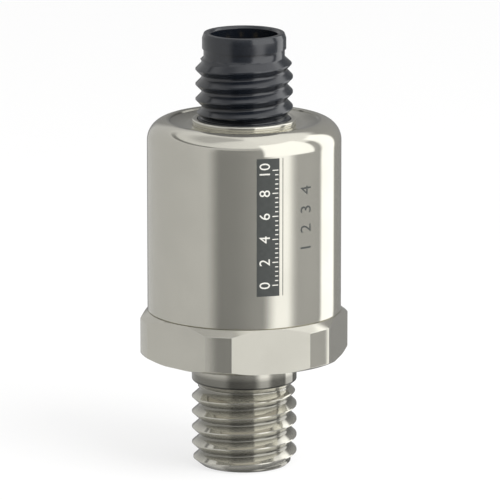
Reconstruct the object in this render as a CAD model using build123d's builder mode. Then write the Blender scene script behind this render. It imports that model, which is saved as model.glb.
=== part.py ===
# Pressure transmitter: a steel pressure port with a hexagon and a threaded stud, a drawn
# case over the ceramic measuring cell and its boards, and a black round plug connector.
# Millimetres. The origin is the middle of the hexagon's underside, +Z runs to the connector.
import os

from build123d import *

# Pressure port: stud
stud_length = 14.0
stud_crest_radius = 6.52
stud_ridge_depth = 0.76
stud_ridge_spacing = 1.965
stud_collar_height = 3.15
stud_collar_rounding = 0.9
stud_end_radius = 5.4
stud_end_chamfer_height = 0.9
crest_width = 0.3
root_width = 0.25
pressure_bore_radius = 2.5

# Pressure port: hexagon and what stands on it
hex_across_flats = 24.0
hex_corner_proud = 1.0
hex_height = 5.6
hex_top_chamfer_height = 0.75
hex_bottom_chamfer = 0.45
pocket_radius = 9.1
pocket_floor_height = 3.4
spigot_gap = 0.05

# Sealing rings
process_groove_radius = 7.4
process_groove_width = 2.0
process_groove_depth = 1.2
process_seal_gap = 0.03
process_seal_chamfer = 0.3
cell_groove_width = 1.8
cell_groove_depth = 1.1
cell_groove_land = 1.5
cell_seal_gap = 0.02
case_seal_gap = 0.02
seal_corner = 0.35

# Case, as wide as the hexagon is across its flats
case_wall = 0.8
case_height = 24.0
case_shoulder_radius = 2.6
case_top_dish = 0.85
case_dish_radius = 7.3
case_foot_chamfer = 0.15
lip_height = 1.2
lip_outer_radius = 6.36
lip_rounding = 0.52
lip_foot_fillet = 0.12
neck_gap = 0.06

# Connector
plug_crest_radius = 6.0
plug_ridge_depth = 0.73
plug_ridge_spacing = 1.875
plug_height_above_dish = 11.65
plug_nose_radius = 5.18
plug_nose_height = 2.0
plug_rim_radius = 4.95
plug_rim_height = 0.65
plug_neck_radius = 5.0
plug_neck_height = 1.0
plug_neck_flank = 0.91
plug_stem_radius = 5.72
plug_stem_height = 1.85
plug_cup_radius = 4.15
plug_cup_depth = 8.9
plug_cup_chamfer = 0.25
plug_flange_thickness = 3.45
plug_flange_shoulder = 1.05
plug_shoulder_radius = 9.2
flange_gap = 0.1
flange_groove_depth = 1.1
flange_groove_width = 1.6
flange_groove_offset = 0.4
key_width = 0.9
key_depth = 0.55
key_top_gap = 2.2

# Contact pins
pin_count = 4
pin_circle_radius = 2.75
pin_radius = 0.5
pin_tip_chamfer = 0.2
pin_top_gap = 2.1
pin_collar_radius = 0.75
pin_collar_depth = 1.9
pin_tail_radius = 0.4
pin_tail_stub = 0.5
pin_gap = 0.02

# Measuring cell and its rings
cell_gap = 0.1
diaphragm_thickness = 0.6
glass_ring_thickness = 0.1
glass_ring_width = 2.0
cell_body_height = 4.9
cell_notch_radius = 0.6
cell_notch_count = 3
support_ring_height = 0.8
ring_opening_radius = 6.4
retaining_ring_height = 1.7
retaining_ring_gap = 0.05
spanner_slot_width = 1.6
spanner_slot_depth = 0.9

# Board carrier and boards
carrier_gap = 0.3
carrier_ring_width = 3.4
carrier_foot_height = 1.2
carrier_head_height = 1.2
carrier_head_width = 2.0
post_thickness = 4.8
post_inner_x = 7.6
board_thickness = 1.0
board_offset_y = 1.4
board_half_width = 8.2
board_slot_gap = 0.05
board_corner_radius = 0.5
tab_half_width = 1.5
connector_board_thickness = 1.0
connector_board_radius = 7.0
connector_board_drop = 0.75
pin_hole_gap = 0.05

# Parts on the signal board, as width, thickness and height
chip_size = (5.0, 1.1, 4.0)
chip_lead_count = 8
chip_lead_width = 0.25
chip_lead_reach = 0.7
chip_lead_thickness = 0.3
chip_drop = 0.6
regulator_size = (3.2, 1.0, 2.6)
capacitor_size = (2.0, 1.2, 1.25)
capacitor_count = 3
capacitor_spacing = 2.9
capacitor_row_rise = 1.8
resistor_size = (1.6, 0.45, 0.8)
resistor_count = 4
resistor_spacing = 2.4
resistor_row_drop = 1.6
lead_width = 0.5
lead_thickness = 0.2
lead_spacing = 1.6
lead_count = 4
lead_start_y = -2.0
lead_solder_length = 1.2
lead_bend_radius = 0.8

# Radii and heights that follow from the sizes above
case_radius = hex_across_flats / 2
hex_corner_radius = case_radius + hex_corner_proud
hex_top = hex_height
case_top = hex_top + case_height
dish_height = case_top - case_top_dish
lip_top = dish_height + lip_height
neck_radius = plug_stem_radius + neck_gap
case_inner_radius = case_radius - case_wall
dish_underside = dish_height - case_wall
diaphragm_top = pocket_floor_height + diaphragm_thickness
glass_ring_top = diaphragm_top + glass_ring_thickness
cell_top = glass_ring_top + cell_body_height
support_ring_top = cell_top + support_ring_height
spigot_top = support_ring_top + retaining_ring_height
spigot_radius = case_inner_radius - spigot_gap
cell_radius = pocket_radius - cell_gap
flange_underside = dish_underside - plug_flange_thickness
plug_top = dish_height + plug_height_above_dish
cup_floor = plug_top - plug_cup_depth


def ridge_points(top_z, crest_radius, depth, spacing, count):
    """Corner points of a stack of ridges, from the top crest down to the last one."""
    flank = (spacing - crest_width - root_width) / 2
    points = []
    for index in range(count):
        crest_z = top_z - index * spacing
        if index:
            points.append((crest_radius - depth, crest_z + crest_width / 2 + flank + root_width))
            points.append((crest_radius - depth, crest_z + crest_width / 2 + flank))
        points.append((crest_radius, crest_z + crest_width / 2))
        points.append((crest_radius, crest_z - crest_width / 2))
    return points


# Pressure port: one turned piece, a half section turned about the axis
stud_root_radius = stud_crest_radius - stud_ridge_depth
stud_flank = (stud_ridge_spacing - crest_width - root_width) / 2
first_root = -stud_collar_height - stud_flank
first_crest = first_root - root_width - stud_flank - crest_width / 2
last_crest_limit = -stud_length + stud_end_chamfer_height
stud_ridge_count = int((first_crest - crest_width / 2 - last_crest_limit) / stud_ridge_spacing) + 1
process_groove_outer = process_groove_radius + process_groove_width
cell_groove_outer = pocket_radius - cell_groove_land
cell_groove_inner = cell_groove_outer - cell_groove_width
stud_ridges = ridge_points(
    first_crest, stud_crest_radius, stud_ridge_depth, stud_ridge_spacing, stud_ridge_count
)
with BuildPart() as pressure_port:
    with BuildSketch(Plane.XZ) as port_section:
        with BuildLine():
            Polyline(
                (pressure_bore_radius, pocket_floor_height),
                (pressure_bore_radius, -stud_length),
                (stud_end_radius, -stud_length),
                (stud_crest_radius, last_crest_limit),
                *reversed(stud_ridges),
                (stud_root_radius, first_root - root_width),
                (stud_root_radius, first_root),
                (stud_crest_radius, -stud_collar_height),
                (stud_crest_radius, 0),
                (process_groove_radius, 0),
                (process_groove_radius, process_groove_depth),
                (process_groove_outer, process_groove_depth),
                (process_groove_outer, 0),
                (hex_corner_radius - hex_bottom_chamfer, 0),
                (hex_corner_radius, hex_bottom_chamfer),
                (hex_corner_radius, hex_top - hex_top_chamfer_height),
                (case_radius, hex_top),
                (spigot_radius, hex_top),
                (spigot_radius, spigot_top),
                (pocket_radius, spigot_top),
                (pocket_radius, pocket_floor_height),
                (cell_groove_outer, pocket_floor_height),
                (cell_groove_outer, pocket_floor_height - cell_groove_depth),
                (cell_groove_inner, pocket_floor_height - cell_groove_depth),
                (cell_groove_inner, pocket_floor_height),
                close=True,
            )
        make_face()
        collar_corner = (stud_crest_radius, -stud_collar_height)
        fillet(port_section.vertices().sort_by_distance(collar_corner)[0], radius=stud_collar_rounding)
    revolve(axis=Axis.Z)
    with BuildSketch(Plane.XY.offset(-stud_length)):
        RegularPolygon(hex_across_flats / 2, 6, major_radius=False)
    extrude(amount=stud_length + spigot_top, mode=Mode.INTERSECT)

# Moulded sealing ring in the groove under the hexagon
with BuildPart() as process_seal:
    with BuildSketch(Plane.XZ):
        with Locations((process_groove_radius + process_groove_width / 2, process_groove_depth / 2)):
            Rectangle(process_groove_width - 2 * process_seal_gap, process_groove_depth)
    revolve(axis=Axis.Z)
    chamfer(process_seal.edges().group_by(Axis.Z)[0], length=process_seal_chamfer)

# Case: a deep-drawn sleeve with a round shoulder, a dished top and a lip rolled in round the neck
shoulder_z = case_top - case_shoulder_radius
shoulder_centre_radius = case_radius - case_shoulder_radius
with BuildPart() as case:
    with BuildSketch(Plane.XZ):
        with BuildLine():
            Polyline(
                (case_inner_radius, hex_top),
                (case_radius - case_foot_chamfer, hex_top),
                (case_radius, hex_top + case_foot_chamfer),
                (case_radius, shoulder_z),
            )
            CenterArc((shoulder_centre_radius, shoulder_z), case_shoulder_radius, 0, 90)
            FilletPolyline(
                (shoulder_centre_radius, case_top),
                (case_dish_radius, dish_height),
                (lip_outer_radius, dish_height),
                (lip_outer_radius, lip_top),
                (neck_radius, lip_top),
                (neck_radius, dish_underside),
                (case_dish_radius, dish_underside),
                (shoulder_centre_radius, case_top - case_wall),
                radius=(0, lip_foot_fillet, lip_rounding, 0, 0, 0),
            )
            CenterArc((shoulder_centre_radius, shoulder_z), case_shoulder_radius - case_wall, 0, 90)
            Line((case_inner_radius, shoulder_z), (case_inner_radius, hex_top))
        make_face()
    revolve(axis=Axis.Z)

# Connector: the moulded black insert with its cup, thread stretch, stem and sealing flange
plug_root_radius = plug_crest_radius - plug_ridge_depth
nose_base = plug_top - plug_nose_height
neck_bottom = nose_base - plug_neck_height
plug_first_crest = neck_bottom - plug_neck_flank - crest_width / 2
plug_flank = (plug_ridge_spacing - crest_width - root_width) / 2
stem_top = dish_underside + plug_stem_height
plug_ridge_stretch = plug_first_crest - crest_width / 2 - plug_flank - stem_top
plug_ridge_count = int(plug_ridge_stretch / plug_ridge_spacing) + 1
plug_last_crest = plug_first_crest - (plug_ridge_count - 1) * plug_ridge_spacing
flange_radius = case_inner_radius - flange_gap
flange_shoulder_z = dish_underside - plug_flange_shoulder
groove_bottom = flange_underside + flange_groove_offset
groove_top = groove_bottom + flange_groove_width
groove_radius = flange_radius - flange_groove_depth
plug_ridges = ridge_points(
    plug_first_crest, plug_crest_radius, plug_ridge_depth, plug_ridge_spacing, plug_ridge_count
)
with BuildPart() as connector_body:
    with BuildSketch(Plane.XZ):
        with BuildLine():
            Polyline(
                (0, flange_underside),
                (flange_radius, flange_underside),
                (flange_radius, groove_bottom),
                (groove_radius, groove_bottom),
                (groove_radius, groove_top),
                (flange_radius, groove_top),
                (flange_radius, flange_shoulder_z),
                (plug_shoulder_radius, dish_underside),
                (plug_stem_radius, dish_underside),
                (plug_stem_radius, stem_top),
                (plug_root_radius, stem_top),
                (plug_root_radius, plug_last_crest - crest_width / 2 - plug_flank),
                *reversed(plug_ridges),
                (plug_neck_radius, neck_bottom),
                (plug_neck_radius, nose_base),
                (plug_nose_radius, nose_base),
                (plug_nose_radius, plug_top - plug_rim_height),
                (plug_rim_radius, plug_top),
                (plug_cup_radius + plug_cup_chamfer, plug_top),
                (plug_cup_radius, plug_top - plug_cup_chamfer),
                (plug_cup_radius, cup_floor),
                (0, cup_floor),
                close=True,
            )
        make_face()
    revolve(axis=Axis.Z)
    with BuildSketch(Plane.XY.offset(cup_floor)):
        with PolarLocations(plug_cup_radius, 1, start_angle=225):
            Rectangle(2 * key_depth, key_width)
    extrude(amount=plug_cup_depth - key_top_gap)
    with BuildSketch(Plane.XY.offset(flange_underside)):
        with PolarLocations(pin_circle_radius, pin_count):
            Circle(pin_radius + pin_gap)
    extrude(amount=cup_floor - flange_underside, mode=Mode.SUBTRACT)
    with BuildSketch(Plane.XY.offset(flange_underside)):
        with PolarLocations(pin_circle_radius, pin_count):
            Circle(pin_collar_radius + pin_gap)
    extrude(amount=pin_collar_depth, mode=Mode.SUBTRACT)

# Sealing ring round the connector's flange, pressed square with blunt corners in its groove
with BuildPart() as case_seal:
    with BuildSketch(Plane.XZ) as case_seal_section:
        with Locations(((groove_radius + case_inner_radius) / 2, (groove_bottom + groove_top) / 2)):
            Rectangle(
                case_inner_radius - groove_radius - 2 * case_seal_gap,
                flange_groove_width - 2 * case_seal_gap,
            )
        chamfer(case_seal_section.vertices(), length=seal_corner)
    revolve(axis=Axis.Z)

# Contact pins, alike, with a collar under the insert's floor and a thin tail for the board
pin_collar_top = flange_underside + pin_collar_depth
connector_board_top = flange_underside - connector_board_drop
connector_board_bottom = connector_board_top - connector_board_thickness
pin_top = plug_top - pin_top_gap
contact_pins = []
for index in range(pin_count):
    angle = index * 360 / pin_count
    place = Location((0, 0, 0), (0, 0, angle)) * Location((pin_circle_radius, 0, 0))
    with BuildPart() as contact_pin:
        with BuildSketch(Plane.XZ):
            with BuildLine():
                Polyline(
                    (0, connector_board_bottom - pin_tail_stub),
                    (pin_tail_radius, connector_board_bottom - pin_tail_stub),
                    (pin_tail_radius, connector_board_top),
                    (pin_collar_radius, connector_board_top),
                    (pin_collar_radius, pin_collar_top),
                    (pin_radius, pin_collar_top),
                    (pin_radius, pin_top - pin_tip_chamfer),
                    (pin_radius - pin_tip_chamfer, pin_top),
                    (0, pin_top),
                    close=True,
                )
            make_face()
        revolve(axis=Axis.Z)
    contact_pins.append(contact_pin.part.moved(place))

# Measuring cell: a ceramic diaphragm on a glass ring under the ceramic body, over its seal
cell_groove_middle = (cell_groove_inner + cell_groove_outer) / 2
with BuildPart() as cell_seal:
    with BuildSketch(Plane.XZ) as cell_seal_section:
        with Locations((cell_groove_middle, pocket_floor_height - cell_groove_depth / 2)):
            Rectangle(cell_groove_width - 2 * cell_seal_gap, cell_groove_depth - 2 * cell_seal_gap)
        chamfer(cell_seal_section.vertices(), length=seal_corner)
    revolve(axis=Axis.Z)

with BuildPart() as cell_diaphragm:
    with BuildSketch(Plane.XY.offset(pocket_floor_height)):
        Circle(cell_radius)
    extrude(amount=diaphragm_thickness)

with BuildPart() as cell_glass_ring:
    with BuildSketch(Plane.XY.offset(diaphragm_top)):
        Circle(cell_radius)
        Circle(cell_radius - glass_ring_width, mode=Mode.SUBTRACT)
    extrude(amount=glass_ring_thickness)

with BuildPart() as cell_body:
    with BuildSketch(Plane.XY.offset(glass_ring_top)):
        Circle(cell_radius)
        with PolarLocations(cell_radius, cell_notch_count, start_angle=90):
            Circle(cell_notch_radius, mode=Mode.SUBTRACT)
    extrude(amount=cell_body_height)

# Plastic support ring and the slotted metal ring that holds the cell down in its pocket
with BuildPart() as support_ring:
    with BuildSketch(Plane.XY.offset(cell_top)):
        Circle(cell_radius)
        Circle(ring_opening_radius, mode=Mode.SUBTRACT)
    extrude(amount=support_ring_height)

with BuildPart() as retaining_ring:
    with BuildSketch(Plane.XY.offset(support_ring_top)):
        Circle(pocket_radius - retaining_ring_gap)
        Circle(ring_opening_radius, mode=Mode.SUBTRACT)
    extrude(amount=retaining_ring_height)
    with BuildSketch(Plane.XY.offset(spigot_top)):
        with PolarLocations((ring_opening_radius + pocket_radius) / 2, 2, start_angle=45):
            Rectangle(pocket_radius - ring_opening_radius + spanner_slot_width, spanner_slot_width)
    extrude(amount=-spanner_slot_depth, mode=Mode.SUBTRACT)

# Board carrier: a moulded cage of a foot ring, two grooved posts and a head ring
carrier_radius = case_inner_radius - carrier_gap
carrier_top = flange_underside
foot_top = spigot_top + carrier_foot_height
board_bottom = foot_top
board_top = connector_board_bottom
slot_half_width = board_half_width + board_slot_gap
with BuildPart() as board_carrier:
    with BuildSketch(Plane.XY.offset(spigot_top)):
        Circle(carrier_radius)
        Circle(carrier_radius - carrier_ring_width, mode=Mode.SUBTRACT)
    extrude(amount=carrier_foot_height)
    with BuildSketch(Plane.XY.offset(foot_top)):
        with Locations((0, board_offset_y)):
            Rectangle(2 * carrier_radius, post_thickness)
            Rectangle(2 * post_inner_x, post_thickness, mode=Mode.SUBTRACT)
            Rectangle(2 * slot_half_width, board_thickness + 2 * board_slot_gap, mode=Mode.SUBTRACT)
        Circle(carrier_radius, mode=Mode.INTERSECT)
    extrude(amount=carrier_top - foot_top)
    with BuildSketch(Plane.XY.offset(carrier_top - carrier_head_height)):
        Circle(carrier_radius)
        Circle(carrier_radius - carrier_head_width, mode=Mode.SUBTRACT)
    extrude(amount=carrier_head_height)

# Round board on the pins' tails and the upright board whose tab stands in its slot
with BuildPart() as connector_board:
    with BuildSketch(Plane.XY.offset(connector_board_bottom)):
        Circle(connector_board_radius)
        with PolarLocations(pin_circle_radius, pin_count):
            Circle(pin_tail_radius + pin_hole_gap, mode=Mode.SUBTRACT)
        with Locations((0, board_offset_y)):
            Rectangle(
                2 * (tab_half_width + board_slot_gap),
                board_thickness + 2 * board_slot_gap,
                mode=Mode.SUBTRACT,
            )
    extrude(amount=connector_board_thickness)

board_front_y = board_offset_y - board_thickness / 2
board_back_y = board_offset_y + board_thickness / 2
with BuildPart() as signal_board:
    with BuildSketch(Plane.XZ.offset(-board_back_y)):
        with Locations((0, (board_bottom + board_top) / 2)):
            RectangleRounded(2 * board_half_width, board_top - board_bottom, board_corner_radius)
        with Locations((0, board_top)):
            Rectangle(2 * tab_half_width, connector_board_thickness, align=(Align.CENTER, Align.MIN))
    extrude(amount=board_thickness)

# Parts soldered on the two faces of the signal board
front_plane = Plane.XZ.offset(-board_front_y)
back_plane = Plane((0, board_back_y, 0), x_dir=(-1, 0, 0), z_dir=(0, 1, 0))
capacitor_row_z = board_bottom + capacitor_row_rise
resistor_row_z = board_top - resistor_row_drop
regulator_z = (capacitor_row_z + resistor_row_z + capacitor_size[2] / 2 - resistor_size[2] / 2) / 2
chip_width, chip_thickness, chip_height = chip_size
chip_z = board_top - chip_drop - chip_lead_reach - chip_height / 2
lead_pitch = chip_width / (chip_lead_count / 2)
with BuildPart() as signal_chip:
    with BuildSketch(front_plane):
        with Locations((0, chip_z)):
            Rectangle(chip_width, chip_height)
    extrude(amount=chip_thickness)
    chamfer(signal_chip.edges().group_by(Axis.Y)[0], length=chip_thickness / 8)
    with BuildSketch(front_plane):
        with Locations((0, chip_z)):
            with GridLocations(lead_pitch, chip_height + chip_lead_reach, chip_lead_count // 2, 2):
                Rectangle(chip_lead_width, chip_lead_reach)
    extrude(amount=chip_lead_thickness)

with BuildPart() as regulator_chip:
    with BuildSketch(back_plane):
        with Locations((0, regulator_z)):
            Rectangle(regulator_size[0], regulator_size[2])
    extrude(amount=regulator_size[1])
    fillet(regulator_chip.edges().group_by(Axis.Y)[-1], radius=regulator_size[1] / 8)

capacitors = []
for index in range(capacitor_count):
    with BuildPart() as capacitor:
        with BuildSketch(back_plane):
            with Locations(((index - (capacitor_count - 1) / 2) * capacitor_spacing, capacitor_row_z)):
                Rectangle(capacitor_size[0], capacitor_size[2])
        extrude(amount=capacitor_size[1])
    capacitors.append(capacitor.part)

resistors = []
for index in range(resistor_count):
    with BuildPart() as resistor:
        with BuildSketch(back_plane):
            with Locations(((index - (resistor_count - 1) / 2) * resistor_spacing, resistor_row_z)):
                Rectangle(resistor_size[0], resistor_size[2])
        extrude(amount=resistor_size[1])
    resistors.append(resistor.part)

# Flat leads from the cell up to the signal board, each bent back to the board's face
cell_leads = []
lead_top = board_bottom + lead_solder_length
lead_bend_low = cell_top + (board_bottom - cell_top) / 3
lead_bend_high = board_bottom - lead_thickness
lead_end_y = board_front_y - lead_thickness / 2
for index in range(lead_count):
    lead_x = (index - (lead_count - 1) / 2) * lead_spacing
    with BuildPart() as cell_lead:
        with BuildLine(Plane.YZ.offset(lead_x)) as lead_path:
            FilletPolyline(
                (lead_start_y, cell_top),
                (lead_start_y, lead_bend_low),
                (lead_end_y, lead_bend_high),
                (lead_end_y, lead_top),
                radius=lead_bend_radius,
            )
        with BuildSketch(Plane(origin=(lead_x, lead_start_y, cell_top), z_dir=(0, 0, 1))):
            Rectangle(lead_width, lead_thickness)
        sweep(path=lead_path.wire())
    cell_leads.append(cell_lead.part)

# Files, one for each piece
pieces = {
    "pressure_port": pressure_port.part,
    "process_seal": process_seal.part,
    "case": case.part,
    "connector_body": connector_body.part,
    "case_seal": case_seal.part,
    "cell_seal": cell_seal.part,
    "cell_diaphragm": cell_diaphragm.part,
    "cell_glass_ring": cell_glass_ring.part,
    "cell_body": cell_body.part,
    "support_ring": support_ring.part,
    "retaining_ring": retaining_ring.part,
    "board_carrier": board_carrier.part,
    "connector_board": connector_board.part,
    "signal_board": signal_board.part,
    "signal_chip": signal_chip.part,
    "regulator_chip": regulator_chip.part,
}
for name, group in (
    ("contact_pin", contact_pins),
    ("capacitor", capacitors),
    ("resistor", resistors),
    ("cell_lead", cell_leads),
):
    for index, piece in enumerate(group, start=1):
        pieces[f"{name}_{index}"] = piece

os.makedirs("parts", exist_ok=True)
for name, piece in pieces.items():
    piece.label = name
    export_step(piece, f"parts/{name}.step")
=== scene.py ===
"""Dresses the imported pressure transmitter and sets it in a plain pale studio.

Lengths in the classes below are millimetres and become metres where a mesh is made. The frame is the
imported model's own: the origin is the middle of the hexagon's underside and +Z runs to the connector.
"""

import logging
import math
from collections.abc import Callable, Sequence
from dataclasses import dataclass, fields
from enum import Enum
from typing import ClassVar

import bmesh
import bpy
from mathutils import Matrix, Vector


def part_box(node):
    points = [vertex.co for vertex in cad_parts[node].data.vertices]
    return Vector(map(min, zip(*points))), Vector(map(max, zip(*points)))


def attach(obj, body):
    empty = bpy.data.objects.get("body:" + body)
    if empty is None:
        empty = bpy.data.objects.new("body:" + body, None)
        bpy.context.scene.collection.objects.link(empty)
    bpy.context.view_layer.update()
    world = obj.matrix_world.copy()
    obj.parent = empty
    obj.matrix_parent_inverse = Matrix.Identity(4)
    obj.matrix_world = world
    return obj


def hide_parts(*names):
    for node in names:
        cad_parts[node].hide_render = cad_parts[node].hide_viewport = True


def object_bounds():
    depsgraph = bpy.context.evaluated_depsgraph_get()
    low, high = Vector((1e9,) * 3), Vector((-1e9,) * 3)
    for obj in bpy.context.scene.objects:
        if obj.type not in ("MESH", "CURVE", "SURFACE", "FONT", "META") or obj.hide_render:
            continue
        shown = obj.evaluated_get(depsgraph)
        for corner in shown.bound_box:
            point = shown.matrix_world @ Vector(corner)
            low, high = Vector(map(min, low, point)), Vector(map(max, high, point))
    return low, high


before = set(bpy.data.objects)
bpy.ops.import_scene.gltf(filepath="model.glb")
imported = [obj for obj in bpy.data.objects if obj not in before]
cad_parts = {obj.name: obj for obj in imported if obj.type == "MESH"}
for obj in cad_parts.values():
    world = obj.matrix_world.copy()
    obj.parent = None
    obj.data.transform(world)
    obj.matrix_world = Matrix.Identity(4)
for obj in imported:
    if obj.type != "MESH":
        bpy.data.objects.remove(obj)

LOG = logging.getLogger("pressure_transmitter")
MM = 0.001
CAD_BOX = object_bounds()
ROOT_BODY = "root"
# Metres: points nearer than the first are welded, and less than the second counts as nothing.
WELD = 0.001 * MM
SAME = WELD / 10
TURN = 2 * math.pi
UP = Vector((0.0, 0.0, 1.0))
WHITE = (1.0, 1.0, 1.0, 1.0)
RGB = tuple[float, float, float]
Point = tuple[float, float]


class Slot(Enum):
    """Material slots of the record, passed with the new pieces to settle, which doesn't use them."""

    PORT = "port_steel"
    CASE = "case_steel"
    PLUG = "black_plastic"


class Combine(Enum):
    """How a cutter or an addition is worked into a closed mesh."""

    COMMON = "INTERSECT"
    CUT = "DIFFERENCE"
    JOIN = "UNION"


class GroupKind(Enum):
    """Kinds of node group, each with the type of its outputs."""

    SHADER = ("ShaderNodeTree", "NodeSocketFloat")
    GEOMETRY = ("GeometryNodeTree", "NodeSocketGeometry")


INPUT_SOCKETS = {float: "NodeSocketFloat", int: "NodeSocketInt", type(None): "NodeSocketMaterial"}


@dataclass(frozen=True)
class Span:
    """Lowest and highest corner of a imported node, in millimetres."""

    low: Vector
    high: Vector

    @classmethod
    def of(cls, node: str) -> "Span":
        """Returns a node's box from the frame."""
        low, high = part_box(node)
        return cls(low / MM, high / MM)


def arithmetic(operation: str, swapped: bool = False) -> Callable[["Value", object], "Value"]:
    """Makes a method that adds a Math node.

    Args:
        operation: name of the operation.
        swapped: whether the other number comes first.

    Returns:
        The method.
    """
    def apply(this: "Value", other: object) -> "Value":
        """Returns the result for two numbers."""
        first, second = (other, this) if swapped else (this, other)
        return this.writer.math(operation, first, second)
    return apply


@dataclass(frozen=True)
class Value:
    """A number in a node tree that takes plain arithmetic."""

    writer: "TreeWriter"
    socket: bpy.types.NodeSocket

    __add__ = __radd__ = arithmetic("ADD")
    __mul__ = __rmul__ = arithmetic("MULTIPLY")
    __sub__ = arithmetic("SUBTRACT")
    __rsub__ = arithmetic("SUBTRACT", swapped=True)
    __truediv__ = arithmetic("DIVIDE")
    __rtruediv__ = arithmetic("DIVIDE", swapped=True)


class TreeWriter:
    """Adds nodes to a geometry or shader tree and links them."""

    # A Mix node has sockets of one name for each kind of value, so its colours go by their places.
    first_colour = 6
    second_colour = 7
    mixed_colour = 2

    def __init__(self, tree: bpy.types.NodeTree) -> None:
        """Keeps the tree to write in."""
        self.tree = tree

    def feed(self, socket: bpy.types.NodeSocket, value: object) -> None:
        """Links an output to a socket, or sets the socket to a plain value.

        Args:
            socket: the input to feed.
            value: a Value, an output socket, a text, a number or a tuple of numbers.
        """
        source = value.socket if isinstance(value, Value) else value
        if isinstance(source, bpy.types.NodeSocket):
            self.tree.links.new(source, socket)
        else:
            socket.default_value = source

    def node(self, kind: str, inputs: dict[str | int, object] | None = None,
             **settings: object) -> bpy.types.Node:
        """Adds one node.

        Args:
            kind: name of the node's type.
            inputs: what its inputs get, by name or number.
            settings: properties of the node, by name.

        Returns:
            The new node.
        """
        made = self.tree.nodes.new(kind)
        for name, value in settings.items():
            setattr(made, name, value)
        for key, value in (inputs or {}).items():
            self.feed(made.inputs[key], value)
        return made

    def math(self, operation: str, *values: object, clamp: bool = False) -> Value:
        """Adds a Math node.

        Args:
            operation: name of the operation.
            values: its inputs, in order.
            clamp: whether the result stays between 0 and 1.

        Returns:
            The result.
        """
        made = self.node("ShaderNodeMath", dict(enumerate(values)), operation=operation, use_clamp=clamp)
        return Value(self, made.outputs[0])

    def ramp(self, value: object, low: object, high: object, out_low: object = 0.0,
             out_high: object = 1.0, smooth: bool = False) -> Value:
        """Maps a value from one range to another, clamped.

        Args:
            value: what is mapped.
            low: start of the range it lies in.
            high: end of that range.
            out_low: result at the start.
            out_high: result at the end.
            smooth: whether the result eases in and out.

        Returns:
            The mapped value.
        """
        made = self.node("ShaderNodeMapRange", dict(enumerate((value, low, high, out_low, out_high))),
                         interpolation_type="SMOOTHSTEP" if smooth else "LINEAR")
        return Value(self, made.outputs[0])

    def mix(self, factor: object, first: object, second: object) -> bpy.types.NodeSocket:
        """Mixes two colours.

        Args:
            factor: share of the second colour.
            first: colour at factor 0.
            second: colour at factor 1.

        Returns:
            The mixed colour's socket.
        """
        inputs = {"Factor": factor, self.first_colour: rgba(first), self.second_colour: rgba(second)}
        return self.node("ShaderNodeMix", inputs, data_type="RGBA").outputs[self.mixed_colour]

    def vector(self, *parts: object) -> bpy.types.NodeSocket:
        """Returns up to three numbers as one vector."""
        return self.node("ShaderNodeCombineXYZ", dict(enumerate(parts))).outputs[0]

    def noise(self, scale: object, place: bpy.types.NodeSocket | None = None, **inputs: float) -> Value:
        """Adds a cloud of noise.

        Args:
            scale: its scale.
            place: where it is read, or None for the piece's own coordinates.
            inputs: further inputs of the node, by name.

        Returns:
            The noise from 0 to 1.
        """
        if place is None:
            place = self.node("ShaderNodeTexCoord").outputs["Object"]
        made = self.node("ShaderNodeTexNoise", {"Vector": place, "Scale": scale, **inputs})
        return Value(self, made.outputs[0])

    def attribute(self, name: str) -> Value:
        """Returns the mesh's own value of that name."""
        return Value(self, self.node("ShaderNodeAttribute", attribute_name=name).outputs["Fac"])


def rgba(colour: object) -> object:
    """Returns a colour of three numbers with its fourth, or a socket as it is."""
    return colour if isinstance(colour, bpy.types.NodeSocket) else (*colour, 1.0)


def shaded(colour: RGB, share: float) -> RGB:
    """Returns a colour at a share of its brightness."""
    return tuple(value * share for value in colour)


def label(name: str) -> str:
    """Returns a field's name as a socket has it."""
    return name.replace("_", " ").title()


def open_group(name: str, kind: GroupKind, inputs: dict[str, float | int | None],
               *outputs: str) -> tuple[TreeWriter, dict[str, Value], dict[str, bpy.types.NodeSocket]]:
    """Makes a node group with named sockets.

    Args:
        name: the group's name.
        kind: a shader or a geometry group.
        inputs: for each input its default, with None for a material.
        outputs: the outputs' names.

    Returns:
        A writer for the group, its inputs by name, and its output sockets by name.
    """
    tree_type, output_type = kind.value
    group = bpy.data.node_groups.new(name, tree_type)
    for title, default in inputs.items():
        socket_type = INPUT_SOCKETS[type(default)]
        made = group.interface.new_socket(name=title, in_out="INPUT", socket_type=socket_type)
        if default is not None:
            made.default_value = default
    for title in outputs:
        group.interface.new_socket(name=title, in_out="OUTPUT", socket_type=output_type)
    writer = TreeWriter(group)
    entry = writer.node("NodeGroupInput")
    leave = writer.node("NodeGroupOutput")
    given = {title: Value(writer, entry.outputs[title]) for title in inputs}
    return writer, given, {title: leave.inputs[title] for title in outputs}


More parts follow.
